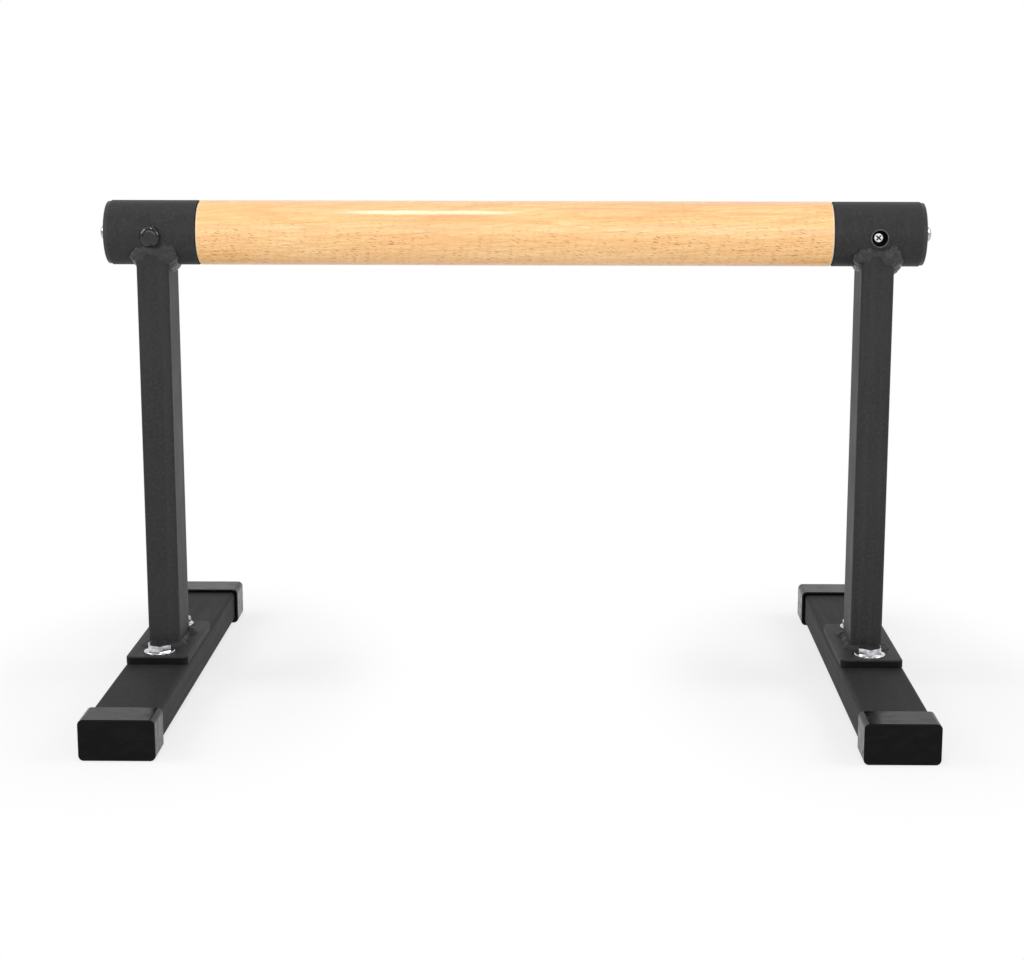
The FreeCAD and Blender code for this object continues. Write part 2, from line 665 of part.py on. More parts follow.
def make_screw_ferrule(side):
    """A flanged cup in the back of the left sleeve, with the screw's seat on its floor."""
    label = f"{side}_screw_ferrule"
    body = new_body(label)
    start_saddle_flange(body, label, FERRULE_FLANGE_RADIUS, "", flip=True)
    cup = new_sketch(body, f"{label}_cup", "XZ_Plane", f"-{FERRULE_END}")
    draw_circle(cup, FERRULE_RADIUS)
    pad(body, cup, f"{FLANGE_FACE} - {FERRULE_END} - Sizes.flange_round", flip=True)
    bore = new_sketch(body, f"{label}_bore", "XZ_Plane", f"-{SCREW_SEAT}")
    draw_circle(bore, FERRULE_BORE_RADIUS)
    pocket(body, bore, f"{FLANGE_FACE} - {SCREW_SEAT} + Sizes.cut_overrun")
    round_rim(body, f"{label}_mouth", "Sizes.ferrule_mouth_round", 1, FLANGE_FACE, FERRULE_BORE_RADIUS)
    floor_hole = new_sketch(body, f"{label}_floor_hole", "XZ_Plane")
    draw_circle(floor_hole, BARREL_BORE_RADIUS)
    pocket(body, floor_hole, f"{SCREW_SEAT} + Sizes.cut_overrun")
    place_on_leg(body, side, CROSS_HEIGHT)


def make_cross_screw(side):
    """A screw that goes in from the back of the left sleeve and into the barrel nut."""
    label = f"{side}_cross_screw"
    body = new_body(label)
    shank = "(Sizes.cross_screw_diameter / 2)"
    head = "(Sizes.cross_screw_head_diameter / 2)"
    tip = f"({SCREW_SEAT} - Sizes.cross_screw_length)"
    profile = new_sketch(body, f"{label}_profile", "XY_Plane")
    draw_outline(profile, [
        ("0", tip),
        (shank, tip),
        (shank, SCREW_SEAT),
        (head, SCREW_SEAT),
        (head, SCREW_FACE),
        ("0", SCREW_FACE),
    ])
    turn_about(body, "Revolution", profile, "V_Axis")
    round_rim(body, f"{label}_rim", "Sizes.cross_screw_head_round", 1, SCREW_FACE, head)
    recess = new_sketch(body, f"{label}_recess", "XZ_Plane", f"-{SCREW_FACE}")
    draw_cross(recess, "Sizes.cross_screw_head_diameter")
    pocket(body, recess, "Sizes.cross_screw_head_height * Sizes.recess_depth_share", flip=True)
    place_on_leg(body, side, CROSS_HEIGHT)


def run_shares(length, radius):
    """Puddles of a weld run of this length, as shares of the length and of the radius."""
    count = math.ceil(length / (radius * value("Sizes.bead_pitch_share")))
    kinds = len(RUN_RADIUS_SHARES)
    return [((index + 0.5) / count, RUN_RADIUS_SHARES[index % kinds]) for index in range(count)]


def make_puddle(centre, radius, run, hidden):
    """A round weld puddle, whose poles lie along the run and whose seam lies on its hidden side."""
    ball = Part.makeSphere(radius)
    ball.Placement = Placement(centre, Rotation(hidden, run.cross(hidden), run, "ZXY"))
    return ball


def solid_post(low, high):
    """The post's outside as a solid, with its corners, between two heights."""
    width = value("Sizes.post_width")
    depth = value("Sizes.post_depth")
    block = Part.makeBox(width, depth, high - low, Vector(-width / 2, -depth / 2, low))
    upright = [edge for edge in block.Edges if same(edge.BoundBox.ZLength, high - low)]
    return block.makeFillet(value(POST_CORNER_RADIUS), upright)


def add_weld(label, shape, side, height):
    weld = doc.addObject("Part::Feature", label)
    weld.Label = label
    weld.Shape = shape
    turn = Rotation(Vector(0, 0, 1), leg_turn(side))
    weld.Placement = Placement(Vector(value(leg_x(side)), 0, value(height)), turn)
    parts.append(weld)


def make_top_weld(side):
    """The bead round the coped joint: broad before and behind the sleeve, a fillet under it at each side.

    The origin is where the post's axis meets the bar's axis. Angles are measured down from the front.
    """
    sleeve_radius = value(GRIP_RADIUS)
    half_width = value("Sizes.post_width / 2")
    joint_angle = math.acos(value(f"Sizes.post_depth / 2 / {GRIP_RADIUS}"))
    puddles = []

    def add_pair(x, angle, distance, radius, hidden):
        """A puddle at the front and the same one at the back, half a turn about the post's axis away."""
        outward = Vector(0, -math.cos(angle), -math.sin(angle))
        run = Vector(0, math.sin(angle), -math.cos(angle))
        ball = make_puddle(Vector(x, 0, 0) + distance * outward, radius, run, hidden or -outward)
        twin = ball.copy()
        twin.rotate(Vector(), Vector(0, 0, 1), 180)
        puddles.extend([ball, twin])

    for x_share, angle_share, radius_share in TOP_BEAD_SHARES:
        distance = sleeve_radius - value("Sizes.top_bead_sink")
        radius = value("Sizes.top_bead_radius") * radius_share
        add_pair(x_share * half_width, angle_share * joint_angle, distance, radius, None)
    side_radius = value("Sizes.side_bead_radius")
    sink = value("Sizes.side_bead_sink")
    run_start = joint_angle * value("Sizes.side_run_start_share")
    arc = math.pi - 2 * run_start
    for place_share, radius_share in run_shares(arc * sleeve_radius, side_radius):
        angle = run_start + place_share * arc
        radius = side_radius * radius_share
        add_pair(sink - half_width, angle, sleeve_radius - sink, radius, Vector(1, 0, 0))
    bead = puddles[0].multiFuse(puddles[1:])
    overrun = value("Sizes.cut_overrun")
    reach = half_width + 2 * value("Sizes.top_bead_radius") + overrun
    sleeve = Part.makeCylinder(sleeve_radius, 2 * reach, Vector(-reach, 0, 0), Vector(1, 0, 0))
    post = solid_post(-sleeve_radius - 2 * side_radius - overrun, 0)
    depth = sleeve_radius + overrun
    cross_hole = Vector(0, 0, -value("Sizes.cross_drop"))
    dome_room = value(f"{DOME_FLANGE_RADIUS} + Sizes.bead_clearance")
    ferrule_room = value(f"{FERRULE_FLANGE_RADIUS} + Sizes.bead_clearance")
    dome = Part.makeCylinder(dome_room, depth, cross_hole, Vector(0, -1, 0))
    ferrule = Part.makeCylinder(ferrule_room, depth, cross_hole, Vector(0, 1, 0))
    add_weld(f"{side}_post_top_weld", bead.cut([sleeve, post, dome, ferrule]), side, "Sizes.grip_axis_height")


def make_base_weld(side):
    """The fillet bead round the foot of the post. The origin is on the plate's top."""
    width = value("Sizes.post_width")
    depth = value("Sizes.post_depth")
    sink = value("Sizes.base_bead_sink")
    bead_radius = value("Sizes.base_bead_radius")
    puddles = []
    along = Vector(1, 0, 0)
    across = Vector(0, 1, 0)
    for sign in (-1, 1):
        for place_share, radius_share in run_shares(width, bead_radius):
            centre = Vector(sign * (place_share - 0.5) * width, sign * (depth / 2 - sink), -sink)
            puddles.append(make_puddle(centre, bead_radius * radius_share, along, -sign * across))
        for place_share, radius_share in run_shares(depth, bead_radius):
            centre = Vector(sign * (width / 2 - sink), sign * (place_share - 0.5) * depth, -sink)
            puddles.append(make_puddle(centre, bead_radius * radius_share, across, -sign * along))
    bead = puddles[0].multiFuse(puddles[1:])
    overrun = value("Sizes.cut_overrun")
    post = solid_post(-overrun - bead_radius, 2 * bead_radius + overrun)
    reach = width + depth + overrun
    plate = Part.makeBox(2 * reach, 2 * reach, reach, Vector(-reach, -reach, -reach))
    add_weld(f"{side}_post_base_weld", bead.cut([post, plate]), side, PLATE_TOP)


make_grip_bar()
for leg in ("left", "right"):
    make_sleeve(leg)
    make_post(leg)
    make_top_weld(leg)
    make_base_plate(leg)
    make_base_weld(leg)
    make_end_cap(leg)
    make_end_cap_screw(leg)
    make_barrel_nut(leg)
    make_screw_ferrule(leg)
    make_cross_screw(leg)
    make_foot_tube(leg)
    for foot_end in ("front", "rear"):
        make_foot_cap(leg, foot_end)
        make_base_bolt(leg, foot_end)
        make_weld_nut(leg, foot_end)

doc.recompute()
for item in doc.Objects:
    if "Invalid" in item.State or "Error" in item.State:
        raise RuntimeError(f"{item.Label} failed: {item.State}")
for part in parts:
    if part.Shape.isNull() or not part.Shape.isValid() or len(part.Shape.Solids) != 1:
        raise RuntimeError(f"{part.Label} is not one valid solid")

os.makedirs("parts", exist_ok=True)
for part in parts:
    part.Shape.exportStep(f"parts/{part.Label}.step")
    print(part.Label, round(part.Shape.Volume, 1))
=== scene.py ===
import math

import bmesh
import bpy
from mathutils import Matrix, Vector, noise


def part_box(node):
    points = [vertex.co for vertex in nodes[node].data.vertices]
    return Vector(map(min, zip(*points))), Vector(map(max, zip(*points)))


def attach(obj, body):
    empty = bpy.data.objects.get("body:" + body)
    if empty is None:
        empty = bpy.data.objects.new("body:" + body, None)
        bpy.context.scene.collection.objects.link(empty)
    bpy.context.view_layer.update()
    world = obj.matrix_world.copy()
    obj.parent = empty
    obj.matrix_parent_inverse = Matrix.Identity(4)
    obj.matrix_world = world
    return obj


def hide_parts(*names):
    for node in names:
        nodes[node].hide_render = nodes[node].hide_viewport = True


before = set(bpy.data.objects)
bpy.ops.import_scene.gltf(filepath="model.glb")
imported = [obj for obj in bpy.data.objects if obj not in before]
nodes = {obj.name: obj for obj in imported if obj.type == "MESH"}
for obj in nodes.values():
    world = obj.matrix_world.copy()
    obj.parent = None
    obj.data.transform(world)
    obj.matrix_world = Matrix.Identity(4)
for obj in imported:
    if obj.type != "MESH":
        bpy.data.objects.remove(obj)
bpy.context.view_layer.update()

# Metres throughout, as in the frame. The camera looks along +Y from the front, and the bar runs along X.
MM = 0.001

# The photograph's width and the camera that took it: focal length and shift in pixels, sensor in
# millimetres, angles in degrees
PHOTO_WIDTH = 1024
FOCAL_PIXELS = 2079.0
SHIFT_PIXELS = -24.2
SENSOR_WIDTH = 36
CAMERA_PLACE = Vector((27.4, -1301.2, 381.9)) * MM
CAMERA_TURN = 0.615
CAMERA_TILT = 10.852
CAMERA_ROLL = 0.11

# Places taken from the frame. The bar is flush with the sleeves, so its radius is theirs too.
BAR_LOW, BAR_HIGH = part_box("grip_bar")
BAR_AXIS_HEIGHT = (BAR_LOW.z + BAR_HIGH.z) / 2
BAR_RADIUS = (BAR_HIGH.z - BAR_LOW.z) / 2
SLEEVE_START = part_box("right_sleeve")[0].x
FOOT_PLACE = sum(corner.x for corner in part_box("right_foot_tube")) / 2
FOOT_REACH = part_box("right_rear_foot_cap")[1].y
PLATE_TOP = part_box("right_base_plate")[1].z
POST_LOW, POST_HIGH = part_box("right_post")
POST_HALF_WIDTH = (POST_HIGH.x - POST_LOW.x) / 2
POST_HALF_DEPTH = (POST_HIGH.y - POST_LOW.y) / 2
JOINT_HEIGHT = BAR_AXIS_HEIGHT - math.sqrt(BAR_RADIUS ** 2 - POST_HALF_DEPTH ** 2)
JOINT_ANGLE = math.asin(POST_HALF_DEPTH / BAR_RADIUS)
SCREW_LOW, SCREW_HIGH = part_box("right_cross_screw")
SCREW_FACE = -SCREW_LOW.y
SCREW_HEIGHT = (SCREW_LOW.z + SCREW_HIGH.z) / 2
FERRULE_LOW, FERRULE_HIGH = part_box("right_screw_ferrule")
FERRULE_RIM = 0.85 * MM
FERRULE_BORE = (FERRULE_HIGH.z - FERRULE_LOW.z) / 2 - FERRULE_RIM

# Spans that hold nearly all of a noise, and of the sum of two
NOISE_SPREAD = (0.3, 0.7)
TWO_NOISE_SPREAD = (0.7, 1.3)


class Graph:
    """The nodes of a material, a lamp or the world, with short calls for the ones used here."""

    def __init__(self, holder):
        self.holder = holder
        holder.use_nodes = True
        self.tree = holder.node_tree
        self.coordinates = self.add("ShaderNodeTexCoord").outputs
        self.place = self.coordinates["Object"]

    def feed(self, socket, value):
        if isinstance(value, bpy.types.NodeSocket):
            self.tree.links.new(value, socket)
        else:
            socket.default_value = value

    def add(self, kind, settings=None, **inputs):
        """A node with its settings, and its inputs by name, with _ for a space."""
        node = self.tree.nodes.new(kind)
        for key, value in (settings or {}).items():
            setattr(node, key, value)
        for key, value in inputs.items():
            self.feed(node.inputs[key.replace("_", " ")], value)
        return node

    def math(self, operation, *values):
        node = self.add("ShaderNodeMath", {"operation": operation})
        for socket, value in zip(node.inputs, values):
            self.feed(socket, value)
        return node.outputs[0]

    def length(self, first, second):
        """The distance that two steps at a right angle add up to."""
        squares = self.math("MULTIPLY_ADD", first, first, self.math("MULTIPLY", second, second))
        return self.math("SQRT", squares)

    def split(self, vector=None):
        """The X, Y and Z of a vector, or else of the place on the object."""
        return self.add("ShaderNodeSeparateXYZ", Vector=vector or self.place).outputs

    def turn(self, vector, degrees):
        """Coordinates turned about Z."""
        rotation = (0, 0, math.radians(degrees))
        return self.add("ShaderNodeMapping", Vector=vector, Rotation=rotation).outputs[0]

    def stretch(self, scales, vector=None):
        """Coordinates scaled along each axis, in features for each metre."""
        return self.add("ShaderNodeMapping", Vector=vector or self.place, Scale=scales).outputs[0]

    def noise(self, scales, detail=2.0, roughness=0.5, vector=None):
        """Noise from 0 to 1 with so many features for each metre, one number or one for each axis."""
        each = scales if isinstance(scales, tuple) else (scales,) * 3
        vector = self.stretch(each, vector)
        node = self.add("ShaderNodeTexNoise", Vector=vector, Scale=1.0, Detail=detail, Roughness=roughness)
        return node.outputs["Fac"]

    def span(self, value, low, high, to_low=0.0, to_high=1.0, smooth=False):
        """A value moved from one span to another, and held at its ends."""
        node = self.add("ShaderNodeMapRange", {"interpolation_type": "SMOOTHSTEP" if smooth else "LINEAR"})
        for socket, number in zip(node.inputs, (value, low, high, to_low, to_high)):
            self.feed(socket, number)
        return node.outputs[0]

    def choose(self, share, first, second):
        """Two numbers mixed by a share."""
        node = self.add("ShaderNodeMix", {"data_type": "FLOAT"})
        for socket, number in zip((node.inputs[0], *node.inputs[2:4]), (share, first, second)):
            self.feed(socket, number)
        return node.outputs[0]

    def blend(self, share, first, second):
        """Two colours mixed by a share."""
        node = self.add("ShaderNodeMix", {"data_type": "RGBA"})
        self.feed(node.inputs[0], share)
        for socket, colour in zip(node.inputs[6:8], (first, second)):
            self.feed(socket, (*colour, 1.0) if isinstance(colour, tuple) else colour)
        return node.outputs[2]

    def tint(self, colour, other, pattern, start, full, most=1.0):
        """A colour with another one over it, from none where a pattern is at start to the most at full."""
        return self.blend(self.span(pattern, start, full, to_high=most), colour, other)

    def bump(self, height, strength, distance):
        return self.add("ShaderNodeBump", Height=height, Strength=strength, Distance=distance).outputs[0]

    def finish(self, **inputs):
        """Set the surface shader's inputs by name, with _ for a space, and give back the material."""
        shader = self.tree.nodes["Principled BSDF"]
        for key, value in inputs.items():
            self.feed(shader.inputs[key.replace("_", " ")], value)
        return self.holder


def new_material(name):
    return Graph(bpy.data.materials.new(name))


def grey(level):
    """A neutral colour, a trace bluer than grey."""
    blue_share = 1.04
    return (level, level, level * blue_share)


# Colours of the beech
PINK_WOOD = (0.92, 0.56, 0.25)
GOLDEN_WOOD = (0.97, 0.69, 0.335)
LATE_WOOD = (0.80, 0.38, 0.15)
STREAK_BROWN = (0.76, 0.39, 0.15)
FIBRE_BROWN = (0.74, 0.38, 0.15)
BLUSH_PINK = (0.88, 0.40, 0.20)
LINE_BROWN = (0.54, 0.26, 0.10)
# Painted shade on the underside, in a warmer brown
UNDERSIDE_SHADE = (0.80, 0.38, 0.12)
FLECK_BROWN = (0.27, 0.11, 0.028)
# Painted highlight on the bevel at each end
BEVEL_HIGHLIGHT = (0.98, 0.83, 0.58)
# Painted shade in the gap at the sleeve
GAP_SHADE = (0.12, 0.06, 0.025)

# Growth rings: the pith lies behind and below the bar's axis, slopes along the bar and wanders
PITH_BEHIND = 38 * MM
PITH_BELOW = 44 * MM
PITH_SLOPE = 0.03
PITH_WANDER = 8 * MM
PITH_WANDER_SCALE = (7.0, 0.0, 0.0)
PITH_WANDER_SPREAD = (0.2, 0.8)
RING_PITCH = 3.1 * MM
RING_RIPPLE = 1.6 * MM
RING_RIPPLE_SCALE = (30.0, 90.0, 90.0)
LATE_WOOD_POWER = 3.0

# Grain on the unrolled bar, in features for each metre along and round it, and its turn in degrees
GRAIN_TURN = -4.0
BAND_SCALE = (9.0, 75.0, 0.0)
STREAK_SCALE = (45.0, 800.0, 0.0)
FIBRE_SCALE = (120.0, 2600.0, 0.0)
BLUSH_SCALE = (9.0, 300.0, 0.0)
LINE_SCALE = (26.0, 1700.0, 0.0)
LACQUER_SCALE = (40.0, 400.0, 0.0)

# Heights from the bar's axis between which the blush grows, and between which the painted shade on the
# underside fades, with the span of the blush's noise that shows
BLUSH_HEIGHTS = (-6 * MM, 16 * MM)
BLUSH_SPREAD = (0.5, 0.68)
UNDERSIDE_SHADE_HEIGHTS = (-19 * MM, -12 * MM)

# Ray flecks: how many for each metre along and round the bar, their turn in degrees and their strength
FLECK_KINDS = (
    (95.0, 680.0, 14.0, 0.9),
    (150.0, 960.0, 11.0, 0.85),
    (230.0, 1400.0, 8.0, 0.7),
)
FLECK_CLUSTER_SCALE = (14.0, 60.0, 0.0)
FLECK_GAIN_DOWNWARD = 16.0

# Shares of a cell over which a fleck fades out, a cell's random draws over which its fleck grows from
# nothing, and the sums of cluster and depth over which flecks grow from their least share
FLECK_EDGE = (0.08, 0.2)
FLECK_DRAWS = (0.3, 0.9)
FLECK_LOWNESS = (0.2, 0.7)
FLECK_LEAST = 0.12

# Distances from the sleeve at which the painted highlight on the bevel, and the painted shade in the gap,
# start and are full
BEVEL_START = 1.6 * MM
BEVEL_FULL = 1.2 * MM
GAP_START = 0.6 * MM
GAP_FULL = 0.4 * MM


def late_wood(graph, x, y, height):
    """Growth rings that darken slowly through a year and stop at once."""
    wander = graph.noise(PITH_WANDER_SCALE, detail=1.0)
    wander = graph.span(wander, *PITH_WANDER_SPREAD, to_low=-PITH_WANDER, to_high=PITH_WANDER)
    pith_y = graph.math("SUBTRACT", graph.math("ADD", y, wander), PITH_BEHIND)
    pith_z = graph.math("ADD", graph.math("MULTIPLY_ADD", x, PITH_SLOPE, height), PITH_BELOW)
    ripple = graph.noise(RING_RIPPLE_SCALE, detail=3.0)
    ripple = graph.span(ripple, 0.0, 1.0, to_low=-RING_RIPPLE, to_high=RING_RIPPLE)
    from_pith = graph.math("ADD", graph.length(pith_y, pith_z), ripple)
    ring = graph.math("FRACT", graph.math("DIVIDE", from_pith, RING_PITCH))
    return graph.math("POWER", ring, LATE_WOOD_POWER)


def with_ray_flecks(graph, colour, unrolled, height):
    """Dark flecks, sparse long ones and dense short ones, in clusters and stronger low on the bar."""
    cluster = graph.noise(FLECK_CLUSTER_SCALE, vector=unrolled)
    lowness = graph.math("MULTIPLY_ADD", height, -FLECK_GAIN_DOWNWARD, cluster)
    low_side = graph.span(lowness, *FLECK_LOWNESS, to_low=FLECK_LEAST)
    for along, across, degrees, strength in FLECK_KINDS:
        cells = graph.stretch((along, across, 1.0), graph.turn(unrolled, degrees))
        fleck = graph.add("ShaderNodeTexVoronoi", {"voronoi_dimensions": "2D"}, Scale=1.0, Vector=cells)
        dash = graph.span(fleck.outputs["Distance"], *FLECK_EDGE, to_low=1.0, to_high=0.0, smooth=True)
        draw = graph.add("ShaderNodeSeparateColor", Color=fleck.outputs["Color"]).outputs[0]
        chance = graph.span(draw, *FLECK_DRAWS, to_high=strength)
        share = graph.math("MULTIPLY", graph.math("MULTIPLY", dash, chance), low_side)
        colour = graph.blend(share, colour, FLECK_BROWN)
    return colour


def beech():
    """Lacquered beech: growth rings, fibres, tilted dark ray flecks, painted shade on the underside, and at
    each end a painted highlight that makes the bevel paler and painted shade in the gap at the sleeve.
    """
    graph = new_material("lacquered_beech")
    x, y, z = graph.split()
    height = graph.math("SUBTRACT", z, BAR_AXIS_HEIGHT)
    angle = graph.math("ARCTAN2", y, height)
    around = graph.math("MULTIPLY", angle, BAR_RADIUS)
    unrolled = graph.add("ShaderNodeCombineXYZ", X=x, Y=around).outputs[0]

    # Broad golden and pink bands, coarse streaks and fine fibres. On the front they climb towards +X.
    climbing = graph.turn(unrolled, GRAIN_TURN)
    band = graph.noise(BAND_SCALE, detail=3.0, vector=climbing)
    streak = graph.noise(STREAK_SCALE, detail=3.0, roughness=0.6, vector=climbing)
    fibre = graph.noise(FIBRE_SCALE, detail=4.0, roughness=0.65, vector=climbing)
    colour = graph.tint(PINK_WOOD, GOLDEN_WOOD, band, start=0.32, full=0.68)
    colour = graph.tint(colour, LATE_WOOD, late_wood(graph, x, y, height), start=0.1, full=1.0, most=0.42)
    colour = graph.tint(colour, STREAK_BROWN, streak, start=0.45, full=0.7, most=0.6)
    colour = graph.tint(colour, FIBRE_BROWN, fibre, start=0.42, full=0.62, most=0.38)

    # Pink streaks on the upper side, thin brown grain lines, and painted shade in a warmer brown on the
    # underside
    blush = graph.noise(BLUSH_SCALE, vector=unrolled)
    upper_side = graph.span(height, *BLUSH_HEIGHTS, to_low=0.1, to_high=0.75)
    pink = graph.math("MULTIPLY", graph.span(blush, *BLUSH_SPREAD), upper_side)
    colour = graph.blend(pink, colour, BLUSH_PINK)
    line = graph.noise(LINE_SCALE, vector=climbing)
    colour = graph.tint(colour, LINE_BROWN, line, start=0.56, full=0.70, most=0.55)
    # Painted shade: the underside darker and warmer
    underside_shade = graph.span(height, *UNDERSIDE_SHADE_HEIGHTS, to_low=0.45, to_high=0.0)
    colour = graph.blend(underside_shade, colour, UNDERSIDE_SHADE)

    # On the front the flecks descend towards +X
    colour = with_ray_flecks(graph, colour, unrolled, height)

    # The bevel at each shoulder gets a painted highlight that makes it paler, and the gap at the sleeve
    # painted shade in dark brown
    from_middle = graph.math("ABSOLUTE", x)
    bevel = (SLEEVE_START - BEVEL_START, SLEEVE_START - BEVEL_FULL)
    colour = graph.tint(colour, BEVEL_HIGHLIGHT, from_middle, *bevel)
    gap = (SLEEVE_START - GAP_START, SLEEVE_START - GAP_FULL)
    colour = graph.tint(colour, GAP_SHADE, from_middle, *gap)

    lacquer = graph.noise(LACQUER_SCALE, vector=unrolled)
    roughness = graph.span(lacquer, *NOISE_SPREAD, to_low=0.34, to_high=0.48)
    normal = graph.bump(fibre, strength=0.10, distance=0.2 * MM)
    return graph.finish(Base_Color=colour, Roughness=roughness, Normal=normal, Specular_IOR_Level=0.2,
                        Coat_Weight=0.55, Coat_Roughness=0.11)


# Powder coat: features for each metre, and its greys before a finish makes them paler or darker
PATCH_SCALE = 26.0
MOTTLE_SCALE = 520.0
PEBBLE_SCALE = 1500.0
DARK_PATCH = 0.020
PALE_PATCH = 0.027
STREAK_GREY = 0.043
MOTTLE_GREY = 0.044
PEBBLE_GREY = 0.046

# Painted shade on the walls of a plate, its cut edges: its grey, its share on a wall, and the upward
# slopes between which it ends
WALL_SHADE_GREY = 0.003
WALL_SHADE_SHARE = 0.85
WALL_SHADE_SLOPES = (0.2, 0.6)

# Streaks of the powder coat, which run along the posts, along the feet, or no way in particular
ALONG_POST = (260.0, 260.0, 6.0)
ALONG_FOOT = (300.0, 8.0, 300.0)
ALL_WAYS = (400.0, 400.0, 400.0)


def powder_coat(name, pale, gloss, smooth, rough, streaks, shaded_walls=False):
    """Matt black powder coat: a fine pebbled skin with paler patches and specks, and faint streaks."""
    graph = new_material(name)
    patch = graph.noise(PATCH_SCALE, detail=3.0)
    streak = graph.noise(streaks)
    pebble = graph.noise(PEBBLE_SCALE, detail=3.0, roughness=0.6)
    mottle = graph.noise(MOTTLE_SCALE)
    colour = graph.tint(grey(pale * DARK_PATCH), grey(pale * PALE_PATCH), patch, *NOISE_SPREAD)
    colour = graph.tint(colour, grey(pale * STREAK_GREY), streak, start=0.5, full=0.75, most=0.35)
    colour = graph.tint(colour, grey(pale * MOTTLE_GREY), mottle, start=0.48, full=0.7, most=0.45)
    colour = graph.tint(colour, grey(pale * PEBBLE_GREY), pebble, start=0.45, full=0.75, most=0.45)
    # Painted shade: walls that face sideways or down are darker than the top
    if shaded_walls:
        facing = graph.add("ShaderNodeNewGeometry").outputs["Normal"]
        upward = graph.split(facing)["Z"]
        wall_shade = graph.span(upward, *WALL_SHADE_SLOPES, to_low=WALL_SHADE_SHARE, to_high=0.0)
        colour = graph.blend(wall_shade, colour, grey(WALL_SHADE_GREY))
    both = graph.math("ADD", patch, streak)
    roughness = graph.span(both, *TWO_NOISE_SPREAD, to_low=smooth, to_high=rough)
    normal = graph.bump(pebble, strength=0.22, distance=0.12 * MM)
    return graph.finish(Base_Color=colour, Roughness=roughness, Normal=normal, Specular_IOR_Level=gloss)


def cap_plastic():
    """Moulded black plastic with a fine eroded skin."""
    cloud_scale = 120.0
    grain_scale = 2200.0
    dark = (0.018, 0.018, 0.019)
    pale = (0.028, 0.028, 0.029)
    graph = new_material("cap_plastic")
    cloud = graph.noise(cloud_scale, detail=3.0)
    colour = graph.tint(dark, pale, cloud, *NOISE_SPREAD)
    roughness = graph.span(cloud, *NOISE_SPREAD, to_low=0.38, to_high=0.5)
    normal = graph.bump(graph.noise(grain_scale), strength=0.12, distance=0.06 * MM)
    return graph.finish(Base_Color=colour, Roughness=roughness, Normal=normal, Specular_IOR_Level=0.4)


def foot_rubber():
    """Black rubber, worn a little paler and duller in clouds."""
    rub_scale = (90.0, 200.0, 200.0)
    rub_spread = (0.35, 0.65)
    grain_scale = 1300.0
    dark = (0.0028, 0.0028, 0.0028)
    pale = (0.006, 0.006, 0.006)
    graph = new_material("foot_rubber")
    rub = graph.noise(rub_scale, detail=4.0, roughness=0.55)
    colour = graph.tint(dark, pale, rub, start=0.45, full=0.75)
    roughness = graph.span(rub, *rub_spread, to_low=0.13, to_high=0.30)
    normal = graph.bump(graph.noise(grain_scale), strength=0.08, distance=0.08 * MM)
    return graph.finish(Base_Color=colour, Roughness=roughness, Normal=normal, Specular_IOR_Level=0.09)


# Smears on the black fasteners: features for each metre, and how deep they are
SMEAR_SCALE = 700.0
SMEAR_DEPTH = 0.04 * MM


def glossy_black():
    """Glossy black lacquer on the domed nuts of the cross fasteners."""
    dark = grey(0.006)
    pale = grey(0.012)
    graph = new_material("glossy_black")
    smear = graph.noise(SMEAR_SCALE, detail=3.0)
    colour = graph.tint(dark, pale, smear, start=0.35, full=0.7)
    roughness = graph.span(smear, *NOISE_SPREAD, to_low=0.10, to_high=0.18)
    normal = graph.bump(smear, strength=0.04, distance=SMEAR_DEPTH)
    return graph.finish(Base_Color=colour, Roughness=roughness, Normal=normal)


def from_screw_axis(graph):
    """Distance from the axis of the cross fastener, on either leg."""
    x, _, z = graph.split()
    across = graph.math("SUBTRACT", graph.math("ABSOLUTE", x), FOOT_PLACE)
    above = graph.math("SUBTRACT", z, SCREW_HEIGHT)
    return graph.length(across, above)


def ferrule_black():
    """A black ferrule with a dull dark bore, and a painted highlight in grey on its rim, in patches."""
    bore = grey(0.002)
    rim_highlight_grey = grey(0.11)
    rim_edge = 0.3 * MM
    graph = new_material("ferrule_black")
    smear = graph.noise(SMEAR_SCALE, detail=3.0)
    highlight_patches = graph.span(smear, *NOISE_SPREAD, to_low=0.55)
    rim = graph.span(from_screw_axis(graph), FERRULE_BORE, FERRULE_BORE + rim_edge)
    # Painted highlight in grey on the rim, in patches
    colour = graph.blend(graph.math("MULTIPLY", rim, highlight_patches), bore, rim_highlight_grey)
    roughness = graph.span(smear, *NOISE_SPREAD, to_low=0.34, to_high=0.46)
    normal = graph.bump(smear, strength=0.04, distance=SMEAR_DEPTH)
    return graph.finish(Base_Color=colour, Roughness=roughness, Normal=normal, Specular_IOR_Level=0.08)


# Plated steel: features for each metre of its clouds, and of its turning marks along each axis
CLOUD_SCALE = 420.0
MARK_SCALE = (300.0, 300.0, 5200.0)

# The cross recess: its painted shade in brown, the radii over which that ends, and the depths over
# which it starts
RECESS_SHADE = (0.05, 0.035, 0.025)
RECESS_RADII = (2.1 * MM, 2.3 * MM)
RECESS_DEPTHS = (0.1 * MM, 0.5 * MM)


